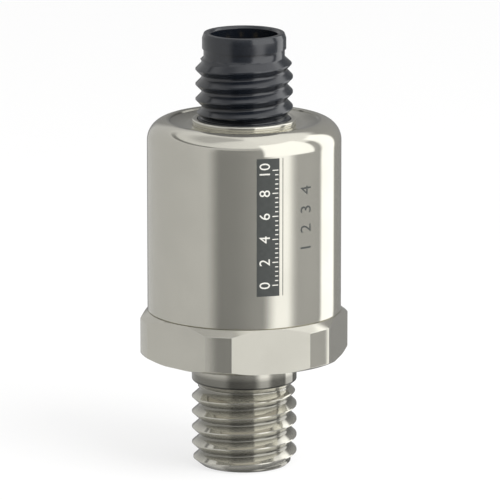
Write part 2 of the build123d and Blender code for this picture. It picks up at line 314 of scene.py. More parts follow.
class StudioSky:
    """The room that the polished steel mirrors: walls, a ceiling and two tall soft lights."""

    @dataclass(frozen=True)
    class Area:
        """One patch of the room as the object sees it, in degrees, with soft edges."""

        left: float
        right: float
        bottom: float
        top: float
        soft_side: float
        soft_end: float
        light: float

    ceiling = 0.8
    below = 0.3
    below_ends = (-60.0, -30.0)
    areas = (
        Area(0, 200, 35, 90, 160, 20, 1.1),
        Area(-160, -60, 55, 90, 30, 15, 0.48),
        Area(-200, 40, -60, 35, 5, 6, 0.61),
        Area(-140, -30, 36.5, 41.5, 50, 2.5, 0.1),
        Area(-200, -164, -60, 22, 12, 12, 0.26),
        Area(-37, 40, -60, 31, 20, 2, 0.155),
        Area(-37, 40, 31, 42, 20, 3, 0.5),
        Area(4, 60, -60, 31, 36, 2, 0.25),
        Area(80, 106, -60, 36, 5, 12, 0.32),
        Area(133, 200, -60, 42, 4, 10, 0.24),
        Area(31, 61, -60, 0, 21, 6, 1.42),
        Area(61, 98, -60, -6, 18, 3, 0.36),
        Area(24, 91, -6, 56, 5, 6, 1.6),
        Area(104, 133, -60, 46, 7, 6, 1.7),
    )

    def build(self, world: bpy.types.World, toward_camera: Vector, right_hand: Vector) -> None:
        """Writes the room into the world.

        Args:
            world: the scene's world.
            toward_camera: level direction from the object to the camera.
            right_hand: level direction to the camera's right.
        """
        world.use_nodes = True
        world.node_tree.nodes.clear()
        w = TreeWriter(world.node_tree)
        direction = w.node("ShaderNodeTexCoord").outputs["Generated"]
        shares = []
        for axis in (right_hand, toward_camera):
            inputs = {0: direction, 1: tuple(axis)}
            shares.append(w.node("ShaderNodeVectorMath", inputs, operation="DOT_PRODUCT").outputs["Value"])
        height = w.node("ShaderNodeSeparateXYZ", {0: direction}).outputs["Z"]
        azimuth = w.math("DEGREES", w.math("ARCTAN2", *shares))
        elevation = w.math("DEGREES", w.math("ARCSINE", height))
        window = self._window_group()
        light = w.ramp(elevation, *self.below_ends, self.below, self.ceiling)
        for area in self.areas:
            inputs = {label(name): value for name, value in vars(area).items() if name != "light"}
            inputs |= {"Azimuth": azimuth, "Elevation": elevation}
            mask = w.node("ShaderNodeGroup", inputs, node_tree=window).outputs["Mask"]
            light = light + Value(w, mask) * (area.light - light)
        seen = w.node("ShaderNodeLightPath").outputs["Is Camera Ray"]
        inputs = {"Color": WHITE, "Strength": w.math("MAXIMUM", light, seen)}
        room = w.node("ShaderNodeBackground", inputs)
        w.node("ShaderNodeOutputWorld", {"Surface": room.outputs[0]})

    @staticmethod
    def _window_group() -> bpy.types.NodeTree:
        """Makes the group that tells how far a direction lies inside a soft-edged patch.

        Returns:
            The group.
        """
        names = ("Azimuth", "Elevation", "Left", "Right", "Bottom", "Top", "Soft Side", "Soft End")
        w, given, result = open_group("soft_patch", GroupKind.SHADER, dict.fromkeys(names, 0.0), "Mask")
        mask: object = 1.0
        for value, low, high, soft in (("Azimuth", "Left", "Right", "Soft Side"),
                                       ("Elevation", "Bottom", "Top", "Soft End")):
            for inside in (given[value] - given[low], given[high] - given[value]):
                mask = w.ramp(inside / given[soft], -0.5, 0.5, smooth=True) * mask
        w.feed(result["Mask"], mask)
        return w.tree


@dataclass(frozen=True)
class Studio:
    """Camera, lamp, room and floor, as the photograph's view needs them."""

    azimuth: float = -15.9
    elevation: float = 12.4
    distance: float = 693.0
    focal_pixels: float = 5600.0
    picture_pixels: float = 500.0
    axis_pixel: float = 244.2
    target_height: float = 13.04
    sensor: float = 36.0
    nearest: float = 10.0
    lamp_size: float = 260.0
    lamp_distance: float = 420.0
    lamp_rise: float = 1.6
    lamp_power: float = 1.4
    floor_size: float = 6000.0
    floor_colour: RGB = (0.93, 0.93, 0.925)
    floor_roughness: float = 0.9
    floor_lift: float = 0.75

    def toward_camera(self) -> Vector:
        """Returns the level direction from the object to the camera."""
        turn = math.radians(self.azimuth)
        return Vector((math.sin(turn), -math.cos(turn), 0.0))

    def right_hand(self) -> Vector:
        """Returns the level direction to the camera's right."""
        turn = math.radians(self.azimuth)
        return Vector((math.cos(turn), math.sin(turn), 0.0))

    def build(self) -> None:
        """Makes the camera, the lamp, the room and the floor."""
        scene = bpy.context.scene
        scene.view_settings.view_transform = "Standard"
        scene.camera = self._camera()
        self._lamp()
        if scene.world is None:
            scene.world = bpy.data.worlds.new("studio")
        StudioSky().build(scene.world, self.toward_camera(), self.right_hand())
        self._floor()

    def _camera(self) -> bpy.types.Object:
        """Sets the camera at the photograph's angle, aimed beside the axis as the photograph is.

        Returns:
            The camera.
        """
        lens = bpy.data.cameras.new("portrait")
        lens.sensor_width = self.sensor
        lens.lens = self.sensor * self.focal_pixels / self.picture_pixels
        lens.clip_start = self.nearest * MM
        rise = math.radians(self.elevation)
        back = self.toward_camera() * math.cos(rise) + UP * math.sin(rise)
        aside = (self.picture_pixels / 2 - self.axis_pixel) * self.distance / self.focal_pixels
        aim = UP * self.target_height + self.right_hand() * aside
        camera = link("portrait", lens)
        camera.location = (aim + back * self.distance) * MM
        camera.rotation_euler = (-back).to_track_quat("-Z", "Y").to_euler()
        return camera

    def _lamp(self) -> None:
        """Adds one large soft lamp high on the right, which the steel doesn't mirror."""
        light = bpy.data.lights.new("soft_lamp", "AREA")
        light.size = self.lamp_size * MM
        light.energy = self.lamp_power
        lamp = link("soft_lamp", light)
        side = (self.toward_camera() + self.right_hand() + UP * self.lamp_rise).normalized()
        lamp.location = side * self.lamp_distance * MM
        lamp.rotation_euler = (-side).to_track_quat("-Z", "Y").to_euler()
        lamp.visible_glossy = False

    def _floor(self) -> None:
        """Lays the pale floor under the stud's end. The steel doesn't mirror it."""
        half = self.floor_size * MM / 2
        signs = ((-1, -1), (1, -1), (1, 1), (-1, 1))
        mesh = bpy.data.meshes.new("floor")
        mesh.from_pydata([(half * x, half * y, CAD_BOX[0].z) for x, y in signs], [], [(0, 1, 2, 3)])
        mesh.materials.append(self._floor_paint())
        floor = link("floor", mesh)
        floor.visible_glossy = False

    def _floor_paint(self) -> bpy.types.Material:
        """Makes the floor's white paint, lifted towards white where the camera sees it.

        Returns:
            The material.
        """
        material = bpy.data.materials.new("floor_paint")
        material.use_nodes = True
        w = TreeWriter(material.node_tree)
        shader = material.node_tree.nodes["Principled BSDF"]
        shader.inputs["Base Color"].default_value = rgba(self.floor_colour)
        shader.inputs["Roughness"].default_value = self.floor_roughness
        path = w.node("ShaderNodeLightPath")
        mirrored = w.math("MAXIMUM", path.outputs["Is Glossy Ray"], path.outputs["Is Transmission Ray"])
        seen = w.math("MAXIMUM", path.outputs["Is Camera Ray"], mirrored)
        white = w.node("ShaderNodeEmission", {"Color": WHITE})
        inputs = {"Fac": seen * self.floor_lift, 1: shader.outputs[0], 2: white.outputs[0]}
        mixed = w.node("ShaderNodeMixShader", inputs)
        w.feed(material.node_tree.nodes["Material Output"].inputs["Surface"], mixed.outputs[0])
        return material


class SharedGroups:
    """Shader groups that more than one finish uses, with inputs named as the finishes' fields."""

    line_noise = {"Detail": 3.0, "Roughness": 0.65}
    patch_noise = {"Detail": 4.0}
    patch_range = (0.35, 0.7)
    wear_range = (0.4, 0.62)
    _built: dict[str, bpy.types.NodeTree] = {}

    @classmethod
    def get(cls, name: str) -> bpy.types.NodeTree:
        """Gives a group, building it the first time.

        Args:
            name: "turned_lines", "handling" or "edge_wear".

        Returns:
            The node group.
        """
        if name not in cls._built:
            cls._built[name] = getattr(cls, "_" + name)()
        return cls._built[name]

    @classmethod
    def _turned_lines(cls) -> bpy.types.NodeTree:
        """Builds the fine lines that turning and polishing leave round the axis.

        Returns:
            The group.
        """
        inputs = {"Lines Per Mm": 12.0, "Line Run": 0.25}
        w, given, result = open_group("turned_lines", GroupKind.SHADER, inputs, "Mask")
        place = w.node("ShaderNodeTexCoord").outputs["Object"]
        along = given["Line Run"] / MM
        scale = w.vector(along, along, given["Lines Per Mm"] / MM)
        stretched = w.node("ShaderNodeVectorMath", {0: place, 1: scale}, operation="MULTIPLY")
        w.feed(result["Mask"], w.noise(1.0, stretched.outputs[0], **cls.line_noise))
        return w.tree

    @classmethod
    def _handling(cls) -> bpy.types.NodeTree:
        """Builds the broad faint patches that handling leaves in a polish.

        Returns:
            The group.
        """
        inputs = {"Patch": 6.0, "Smooth": 0.1, "Dull": 0.2}
        w, given, result = open_group("handling", GroupKind.SHADER, inputs, "Roughness", "Mask")
        cloud = w.noise(1.0 / MM / given["Patch"], **cls.patch_noise)
        patch = w.ramp(cloud, *cls.patch_range, smooth=True)
        w.feed(result["Mask"], patch)
        w.feed(result["Roughness"], w.ramp(patch, 0.0, 1.0, given["Smooth"], given["Dull"]))
        return w.tree

    @classmethod
    def _edge_wear(cls) -> bpy.types.NodeTree:
        """Builds the bright broken line along rubbed edges, from the mesh's own edge attribute.

        Returns:
            The group.
        """
        inputs = {"Wear Grain": 0.4, "Wear": 0.5}
        w, given, result = open_group("edge_wear", GroupKind.SHADER, inputs, "Mask")
        broken = w.ramp(w.noise(1.0 / MM / given["Wear Grain"]), *cls.wear_range)
        w.feed(result["Mask"], w.attribute("edge") * broken * given["Wear"])
        return w.tree


class Finish:
    """A material that is built once and then shared."""

    name: str
    bump_strength: ClassVar[float] = 0.5

    def material(self) -> bpy.types.Material:
        """Gives the material, building it the first time.

        Returns:
            The material.
        """
        made = bpy.data.materials.get(self.name)
        if made is None:
            made = bpy.data.materials.new(self.name)
            made.use_nodes = True
            w = TreeWriter(made.node_tree)
            shader = made.node_tree.nodes["Principled BSDF"]
            for socket, value in self.sockets(w).items():
                w.feed(shader.inputs[socket], value)
        return made

    def sockets(self, w: TreeWriter) -> dict[str, object]:
        """Writes the finish's own nodes.

        Args:
            w: writer for the material's tree.

        Returns:
            What the shader's sockets get, by name.
        """
        raise NotImplementedError

    def group(self, w: TreeWriter, name: str) -> dict[str, Value]:
        """Places a shared group and gives its inputs this finish's fields.

        Args:
            w: writer for the material's tree.
            name: the group's name.

        Returns:
            The group's outputs by name.
        """
        made = w.node("ShaderNodeGroup", node_tree=SharedGroups.get(name))
        for socket in made.inputs:
            socket.default_value = getattr(self, socket.name.lower().replace(" ", "_"))
        return {output.name: Value(w, output) for output in made.outputs}

    def bump(self, w: TreeWriter, height: Value, depth: float) -> bpy.types.NodeSocket:
        """Turns a height into a bent normal.

        Args:
            w: writer for the material's tree.
            height: the height from 0 to 1.
            depth: height of 1 in millimetres.

        Returns:
            The normal's socket.
        """
        inputs = {"Strength": self.bump_strength, "Distance": depth * MM, "Height": height}
        return w.node("ShaderNodeBump", inputs).outputs[0]


@dataclass(frozen=True)
class Steel(Finish):
    """Stainless steel with turning or polishing lines, handling, rubbed edges, and painted shade in creases
    and thread roots with some dirt in the roots.
    """

    name: str
    colour: RGB = (0.635, 0.62, 0.55)
    bright: RGB = (0.7, 0.69, 0.63)
    smooth: float = 0.06
    dull: float = 0.1
    lines_per_mm: float = 14.0
    line_run: float = 0.08
    line_depth: float = 0.0004
    line_spread: float = 0.06
    patch: float = 7.0
    patch_shade: float = 0.95
    wear: float = 0.4
    wear_grain: float = 0.5
    # Strength and tone of the painted shade that darkens creases and thread roots, with some dirt in the
    # roots.
    grime: float = 0.0
    grime_shade: float = 0.1
    metal: float = 0.86

    def sockets(self, w: TreeWriter) -> dict[str, object]:
        """Writes the steel.

        Args:
            w: writer for the material's tree.

        Returns:
            What the shader's sockets get, by name.
        """
        handling = self.group(w, "handling")
        lines = self.group(w, "turned_lines")["Mask"]
        toned = w.mix(handling["Mask"], self.colour, shaded(self.colour, self.patch_shade))
        worn = w.mix(self.group(w, "edge_wear")["Mask"], toned, self.bright)
        # Painted shade: the colour darkens where the mesh's darkening mask is set, for shade in creases,
        # under edges and in thread roots, with some dirt in the roots.
        dark = shaded(self.colour, self.grime_shade)
        spread = (lines - 0.5) * self.line_spread
        return {
            "Base Color": w.mix(w.attribute("hollow") * self.grime, worn, dark),
            "Roughness": w.math("ADD", handling["Roughness"], spread, clamp=True),
            "Metallic": self.metal,
            "Normal": self.bump(w, lines, self.line_depth),
        }


@dataclass(frozen=True)
class Moulding(Finish):
    """Moulded plastic, rubber or ceramic with a fine skin and slightly rubbed edges."""

    name: str
    colour: RGB
    rubbed: RGB
    smooth: float = 0.3
    dull: float = 0.42
    patch: float = 3.0
    grain: float = 0.15
    grain_depth: float = 0.004
    wear: float = 0.3
    wear_grain: float = 0.3
    specular: float = 0.5

    def sockets(self, w: TreeWriter) -> dict[str, object]:
        """Writes the moulding.

        Args:
            w: writer for the material's tree.

        Returns:
            What the shader's sockets get, by name.
        """
        return {
            "Base Color": w.mix(self.group(w, "edge_wear")["Mask"], self.colour, self.rubbed),
            "Roughness": self.group(w, "handling")["Roughness"],
            "Specular IOR Level": self.specular,
            "Normal": self.bump(w, w.noise(1.0 / (self.grain * MM)), self.grain_depth),
        }


@dataclass(frozen=True)
class Ink(Finish):
    """A matt printed or laser-darkened mark."""

    name: str
    colour: RGB
    smooth: float = 0.5
    dull: float = 0.62
    patch: float = 0.6
    patch_shade: float = 0.9

    def sockets(self, w: TreeWriter) -> dict[str, object]:
        """Writes the ink, slightly mottled.

        Args:
            w: writer for the material's tree.

        Returns:
            What the shader's sockets get, by name.
        """
        handling = self.group(w, "handling")
        shade = shaded(self.colour, self.patch_shade)
        return {
            "Base Color": w.mix(handling["Mask"], self.colour, shade),
            "Roughness": handling["Roughness"],
        }


# The case's darkening is painted shade in the rim's crease.
CASE_STEEL = Steel("polished_case_steel", grime=0.75)
# The port's darkening is painted shade under the hexagon and the collar and in the thread roots, with some
# dirt in the roots.
PORT_STEEL = Steel("turned_port_steel", smooth=0.08, dull=0.13, lines_per_mm=9.0, line_depth=0.0008,
                   grime=0.583)
RING_STEEL = Steel("plain_ring_steel", smooth=0.2, dull=0.3)
GILT = Steel("gilt_contact", (0.86, 0.64, 0.28), (0.93, 0.75, 0.4))
TINNED = Steel("tinned_lead", (0.72, 0.71, 0.69), (0.8, 0.8, 0.79), smooth=0.25, dull=0.35)
BLACK_PLASTIC = Moulding("black_moulding", (0.006, 0.008, 0.012), (0.02, 0.024, 0.031), smooth=0.15,
                         dull=0.24, specular=0.9)
SEAL_RUBBER = Moulding("seal_rubber", (0.02, 0.02, 0.02), (0.04, 0.04, 0.04), smooth=0.5, dull=0.65)
PALE_SEAL = Moulding("pale_seal", (0.46, 0.43, 0.36), (0.5, 0.47, 0.4), smooth=0.4, dull=0.55)
CERAMIC = Moulding("cell_ceramic", (0.86, 0.85, 0.81), (0.9, 0.89, 0.86), smooth=0.5, dull=0.6)
GLASS_SOLDER = Moulding("glass_solder", (0.42, 0.47, 0.38), (0.5, 0.55, 0.46), smooth=0.2, dull=0.3)
RING_PLASTIC = Moulding("natural_moulding", (0.2, 0.19, 0.17), (0.28, 0.27, 0.25))
BOARD = Moulding("board_laminate", (0.03, 0.16, 0.07), (0.1, 0.2, 0.1), smooth=0.25, dull=0.35)
CHIP = Moulding("chip_moulding", (0.03, 0.03, 0.03), (0.06, 0.06, 0.06), smooth=0.4, dull=0.5)
CAPACITOR = Moulding("capacitor_ceramic", (0.38, 0.26, 0.14), (0.45, 0.33, 0.2))
PANEL_INK = Ink("panel_ink", (0.045, 0.049, 0.046))
LIGHT_INK = Ink("light_ink", (0.66, 0.65, 0.6))

NODE_FINISH: dict[str, Finish] = {
    "process_seal": PALE_SEAL, "case_seal": SEAL_RUBBER, "cell_seal": SEAL_RUBBER,
    "contact_pin": GILT, "cell_diaphragm": CERAMIC, "cell_glass_ring": GLASS_SOLDER,
    "cell_body": CERAMIC, "support_ring": RING_PLASTIC, "retaining_ring": RING_STEEL,
    "board_carrier": RING_PLASTIC, "connector_board": BOARD, "signal_board": BOARD,
    "signal_chip": CHIP, "regulator_chip": CHIP, "resistor": CHIP, "capacitor": CAPACITOR,
    "cell_lead": TINNED, "pressure_port": PORT_STEEL, "case": CASE_STEEL, "connector_body": BLACK_PLASTIC,
}


def link(name: str, data: bpy.types.ID) -> bpy.types.Object:
    """Makes an object of a mesh, a camera, a lamp or a text and links it to the scene.

    Args:
        name: the object's name.
        data: what it shows.

    Returns:
        The object.
    """
    made = bpy.data.objects.new(name, data)
    bpy.context.scene.collection.objects.link(made)
    return made


def settle_work(name: str, work: bmesh.types.BMesh) -> bpy.types.Object:
    """Turns a work mesh into an object in the scene and frees it.

    Args:
        name: the object's name.
        work: the work mesh.

    Returns:
        The object.
    """
    mesh = bpy.data.meshes.new(name)
    work.to_mesh(mesh)
    work.free()
    return link(name, mesh)


def plain_mesh(piece: bpy.types.Object) -> bpy.types.Mesh:
    """Returns the mesh of a piece with its modifiers, with every layer kept."""
    graph = bpy.context.evaluated_depsgraph_get()
    return bpy.data.meshes.new_from_object(piece.evaluated_get(graph), preserve_all_data_layers=True,
                                           depsgraph=graph)


def bake_modifiers(piece: bpy.types.Object) -> None:
    """Turns a piece and its modifiers into a plain mesh.

    Args:
        piece: the object, which keeps its name.
    """
    mesh = plain_mesh(piece)
    piece.modifiers.clear()
    piece.data = mesh


def combine(piece: bpy.types.Object, other: bpy.types.Object, how: Combine) -> None:
    """Works one closed mesh into another and removes the tool.

    Args:
        piece: the mesh that changes.
        other: the cutter or the addition.
        how: the operation.
    """
    step = piece.modifiers.new("combine", "BOOLEAN")
    step.operation = how.value
    step.solver = "MANIFOLD"
    step.object = other
    bake_modifiers(piece)
    bpy.data.objects.remove(other)


def smooth_with_edges(piece: bpy.types.Object, sharp_angle: float, above: float = -1e9) -> None:
    """Shades a piece smooth with crisp edges, flats kept flat by weighted normals.

    Args:
        piece: the object.
        sharp_angle: angle in degrees past which an edge is crisp.
        above: height in millimetres below which only a ridge's crest is crisp.
    """
    full_strength = 0.99
    work = bmesh.new()
    work.from_mesh(piece.data)
    for face in work.faces:
        face.smooth = True
    limit = math.radians(sharp_angle)
    worn = work.verts.layers.float.get("edge")
    for edge in work.edges:
        high = min(vertex.co.z for vertex in edge.verts) > above * MM
        crest = worn is not None and min(vertex[worn] for vertex in edge.verts) > full_strength
        bent = len(edge.link_faces) == 2 and edge.calc_face_angle(0.0) > limit
        edge.smooth = not (bent and (high or crest))
    work.to_mesh(piece.data)
    work.free()
    weigh = piece.modifiers.new("weigh", "WEIGHTED_NORMAL")
    weigh.keep_sharp = True
    bake_modifiers(piece)


def settle(piece: bpy.types.Object, finish: Finish, slot: Slot, *nodes: str) -> None:
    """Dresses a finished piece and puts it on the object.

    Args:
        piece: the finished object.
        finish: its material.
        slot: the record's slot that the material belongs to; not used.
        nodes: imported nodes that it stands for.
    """
    piece.data.materials.clear()
    piece.data.materials.append(finish.material())
    if nodes:
        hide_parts(*nodes)
    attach(piece, ROOT_BODY)
    LOG.info("%s: %d faces", piece.name, len(piece.data.polygons))


def add_box(work: bmesh.types.BMesh, low: Sequence[float], high: Sequence[float]) -> None:
    """Adds a box.

    Args:
        work: the work mesh.
        low: its lowest corner in millimetres.
        high: its highest corner.
    """
    for vertex in bmesh.ops.create_cube(work, size=1.0)["verts"]:
        vertex.co = Vector([(high if vertex.co[axis] > 0 else low)[axis] * MM for axis in range(3)])


def add_prism(work: bmesh.types.BMesh, sides: int, reach: float, bottom: float, top: float,
              middle: Point = (0.0, 0.0)) -> None:
    """Adds an upright prism with a corner towards +X.

    Args:
        work: the work mesh.
        sides: number of its sides.
        reach: distance from its axis to a corner, in millimetres.
        bottom: height of its lower end.
        top: height of its upper end.
        middle: place of its axis.
    """
    rings = []
    for height in (bottom, top):
        ring = []
        for place in range(sides):
            turn = TURN * place / sides
            x = middle[0] + reach * math.cos(turn)
            y = middle[1] + reach * math.sin(turn)
            ring.append(work.verts.new((x * MM, y * MM, height * MM)))
        rings.append(ring)
    lower, upper = rings
    work.faces.new(list(reversed(lower)))
    work.faces.new(upper)
    for place in range(sides):
        after = (place + 1) % sides
        work.faces.new((lower[place], lower[after], upper[after], upper[place]))


@dataclass(frozen=True)
class Corner:
    """A corner of a half section, with the radius it is rounded to and how much painted shade, with some
    dirt in thread roots, darkens it.
    """

    radius: float
    height: float
    rounding: float = 0.0
    dirt: float = 0.0


def arc(centre: Point, radius: float, end: float, steps: int) -> list[Corner]:
    """Gives points along an arc of a half section, from level with its centre upwards.

    Args:
        centre: radius and height of the arc's centre.
        radius: the arc's radius.
        end: last angle in degrees, 90 pointing up.
        steps: number of chords.

    Returns:
        The arc's points as plain corners.
    """
    made = []
    for place in range(steps + 1):
        turn = math.radians(end * place / steps)
        made.append(Corner(centre[0] + radius * math.cos(turn), centre[1] + radius * math.sin(turn)))
    return made


class Turning:
    """Turns half sections into one mesh round the Z axis."""

    chord = math.radians(14)
    sharp_turn = math.radians(30)
    gentle_wear = 0.4
    longest_share = 0.49

    def __init__(self, name: str, segments: int) -> None:
        """Starts an empty mesh.

        Args:
            name: name of the object to be made.
            segments: points round the axis.
        """
        self.name = name
        self.segments = segments
        self.work = bmesh.new()
        self.edge = self.work.verts.layers.float.new("edge")
        # Vertex layer of painted shade, with some dirt in thread roots, that the steel reads to darken its
        # colour.
        self.hollow = self.work.verts.layers.float.new("hollow")

    def section(self, corners: list[Corner]) -> None:
        """Adds the surface of one open half section.

        Args:
            corners: the section's corners in order.
        """
        rings = []
        for index, corner in enumerate(corners):
            for radius, height, strength in self._rounded(corners, index):
                count = self.segments if radius > 0.0 else 1
                ring = []
                for place in range(count):
                    turn = TURN * place / count
                    spot = (radius * math.cos(turn) * MM, radius * math.sin(turn) * MM, height * MM)
                    vertex = self.work.verts.new(spot)
                    vertex[self.edge] = strength
                    vertex[self.hollow] = corner.dirt
                    ring.append(vertex)
                rings.append(ring)
        for lower, upper in zip(rings, rings[1:]):
            for place in range(self.segments):
                after = (place + 1) % self.segments
                quad = [lower[place % len(lower)], lower[after % len(lower)],
                        upper[after % len(upper)], upper[place % len(upper)]]
                face = list(dict.fromkeys(quad))
                if len(face) > 2:
                    self.work.faces.new(face)

    def _rounded(self, corners: list[Corner], index: int) -> list[tuple[float, float, float]]:
        """Rounds one corner of an open half section.

        Args:
            corners: the section's corners in order.
            index: which corner.

        Returns:
            Radius, height and edge strength of each point. The strength is 1 on a rounded edge.
        """
        corner = corners[index]
        here = Vector((corner.radius, corner.height))
        if corner.rounding <= 0.0 or index in (0, len(corners) - 1):
            return [(here.x, here.y, 0.0)]
        before, after = (Vector((corners[other].radius, corners[other].height)) - here
                         for other in (index - 1, index + 1))
        angle = before.angle(after)
        reach = corner.rounding / math.tan(angle / 2)
        limit = self.longest_share * min(before.length, after.length)
        rounding = corner.rounding * min(1.0, limit / reach)
        reach = min(reach, limit)
        inward = (before.normalized() + after.normalized()).normalized()
        middle = here + inward * rounding / math.sin(angle / 2)
        start = here + before.normalized() * reach - middle
        end = here + after.normalized() * reach - middle
        swing = start.angle_signed(end)
        steps = max(2, math.ceil(abs(swing) / self.chord))
        strength = 1.0 if abs(swing) > self.sharp_turn else self.gentle_wear
        points = []
        for place in range(steps + 1):
            arm = Matrix.Rotation(-swing * place / steps, 2) @ start
            ease = math.sin(math.pi * place / steps)
            points.append((middle.x + arm.x, middle.y + arm.y, strength * ease))
        return points

    def absorb(self, mesh: bpy.types.Mesh) -> None:
        """Adds a mesh whose open rims lie on this one's."""
        self.work.from_mesh(mesh)

    def finish(self) -> bpy.types.Object:
        """Closes the mesh, turns its faces outwards and makes an object of it.

        Returns:
            The new object, linked to the scene.
        """
        bmesh.ops.remove_doubles(self.work, verts=self.work.verts, dist=WELD)
        bmesh.ops.dissolve_degenerate(self.work, edges=self.work.edges, dist=SAME)
        bmesh.ops.recalc_face_normals(self.work, faces=self.work.faces)
        open_edges = sum(1 for edge in self.work.edges if len(edge.link_faces) != 2)
        if open_edges:
            LOG.warning("%s has %d open edges", self.name, open_edges)
        return settle_work(self.name, self.work)


class NodeShape:
    """A shape that a tree of geometry nodes makes, with its fields as the tree's inputs."""

    tree: ClassVar[str]

    def mesh(self, finish: Finish) -> bpy.types.Mesh:
        """Runs the tree and makes its result plain.

        Args:
            finish: the material that the tree sets.

        Returns:
            The mesh in metres.
        """
        values: dict[str, object] = {"Material": finish.material()}
        for field in fields(self):
            value = getattr(self, field.name)
            if field.type is float:
                value = math.radians(value) if field.name.endswith("angle") else value * MM
            values[label(field.name)] = value
        holder = link(self.tree, bpy.data.meshes.new(self.tree))
        step = holder.modifiers.new(self.tree, "NODES")
        step.node_group = bpy.data.node_groups.get(self.tree) or self._new_tree()
        for item in step.node_group.interface.items_tree:
            if item.in_out == "INPUT":
                step[item.identifier] = values[item.name]
        mesh = plain_mesh(holder)
        bpy.data.objects.remove(holder)
        return mesh

    def _new_tree(self) -> bpy.types.NodeTree:
        """Makes the tree, which ends in real geometry with its material.

        Returns:
            The tree.
        """
        inputs = {label(field.name): field.type() for field in fields(self)}
        inputs["Material"] = None
        w, given, result = open_group(self.tree, GroupKind.GEOMETRY, inputs, "Geometry")
        w.tree.is_modifier = True
        real = w.node("GeometryNodeRealizeInstances", {"Geometry": self._shape(w, given)})
        inputs = {"Geometry": real.outputs[0], "Material": given["Material"]}
        paint = w.node("GeometryNodeSetMaterial", inputs)
        w.feed(result["Geometry"], paint.outputs[0])
        return w.tree

    def _shape(self, w: TreeWriter, given: dict[str, Value]) -> bpy.types.NodeSocket:
        """Writes the shape's own nodes.

        Args:
            w: writer for the tree.
            given: the tree's inputs by name.

        Returns:
            The socket that puts out the shape.
        """
        raise NotImplementedError


@dataclass(frozen=True)
class Thread(NodeShape):
    """A right-hand helical ridge between two heights, open at both ends on plain circles."""

    tree: ClassVar[str] = "helical_thread"
    worn_share: ClassVar[float] = 0.12
    dirt_start: ClassVar[float] = 0.1
    crest_radius: float
    root_radius: float
    pitch: float
    crest_width: float
    root_width: float
    bottom: float
    top: float
    bottom_radius: float
    bottom_rise: float
    top_radius: float
    top_rise: float
    crest_height: float
    crest_angle: float
    segments: int
    rows_per_turn: int = 14

    def _shape(self, w: TreeWriter, given: dict[str, Value]) -> bpy.types.NodeSocket:
        """Bends a grid into the ridged surface, with rows that stay on the crest and the root.

        Args:
            w: writer for the tree.
            given: the tree's inputs by name.

        Returns:
            The socket that puts out the surface.
        """
        pitch, crest_height = given["Pitch"], given["Crest Height"]
        bottom, top = given["Bottom"], given["Top"]
        lower_turns = w.math("CEIL", (crest_height - bottom) / pitch) + 1.0
        turns = lower_turns + (w.math("CEIL", (top - crest_height) / pitch) + 1.0)
        rows = turns * given["Rows Per Turn"] + 1.0
        grid = w.node("GeometryNodeMeshGrid", {"Vertices X": given["Segments"] + 1.0, "Vertices Y": rows})
        spot = w.node("ShaderNodeSeparateXYZ", {0: w.node("GeometryNodeInputPosition").outputs[0]})
        across, along = (Value(w, spot.outputs[axis]) + 0.5 for axis in ("X", "Y"))
        angle = across * TURN
        lead = (angle - given["Crest Angle"]) / TURN
        half_crest = given["Crest Width"] * 0.5 / pitch
        half_root = given["Root Width"] * 0.5 / pitch
        flank_end = 0.5 - half_root
        risen = along * turns - lower_turns
        near = w.math("ROUND", risen)
        past = risen - near
        reach = w.math("ABSOLUTE", past)
        row = 1.0 / given["Rows Per Turn"]
        root_row = 0.5 - row
        moved_out = (w.ramp(reach, 0.0, row, 0.0, half_crest)
                     + w.ramp(reach, row, root_row, 0.0, flank_end - half_crest)
                     + w.ramp(reach, root_row, 0.5, 0.0, half_root))
        rise = (near + w.math("SIGN", past) * moved_out + lead) * pitch
        height = w.math("MINIMUM", w.math("MAXIMUM", crest_height + rise, bottom), top)
        moved = (height - crest_height) / pitch
        off_crest = w.math("ABSOLUTE", w.math("WRAP", moved - lead, -0.5, 0.5))
        share = w.ramp(off_crest, half_crest, flank_end)
        radius = ridge = w.ramp(share, 0.0, 1.0, given["Crest Radius"], given["Root Radius"])
        for end, distance in (("Bottom", height - bottom), ("Top", top - height)):
            runout = w.ramp(distance / given[end + " Rise"], 0.0, 1.0, given[end + " Radius"],
                            given["Crest Radius"])
            radius = w.math("MINIMUM", radius, runout)
        on_ridge = w.math("COMPARE", radius, ridge, SAME)
        # The second layer is painted shade, with some dirt, that darkens the thread from the flanks towards
        # its roots.
        layers = {"edge": w.ramp(share, 0.0, self.worn_share, 1.0, 0.0) * on_ridge,
                  "hollow": w.ramp(share, self.dirt_start, 1.0, smooth=True)}
        shape = grid.outputs["Mesh"]
        for name, value in layers.items():
            inputs = {"Geometry": shape, "Name": name, "Value": value}
            stored = w.node("GeometryNodeStoreNamedAttribute", inputs, data_type="FLOAT", domain="POINT")
            shape = stored.outputs[0]
        place = w.vector(radius * w.math("COSINE", angle), radius * w.math("SINE", angle), height)
        bent = w.node("GeometryNodeSetPosition", {"Geometry": shape, "Position": place}).outputs[0]
        return w.node("GeometryNodeMergeByDistance", {"Geometry": bent, "Distance": WELD}).outputs[0]


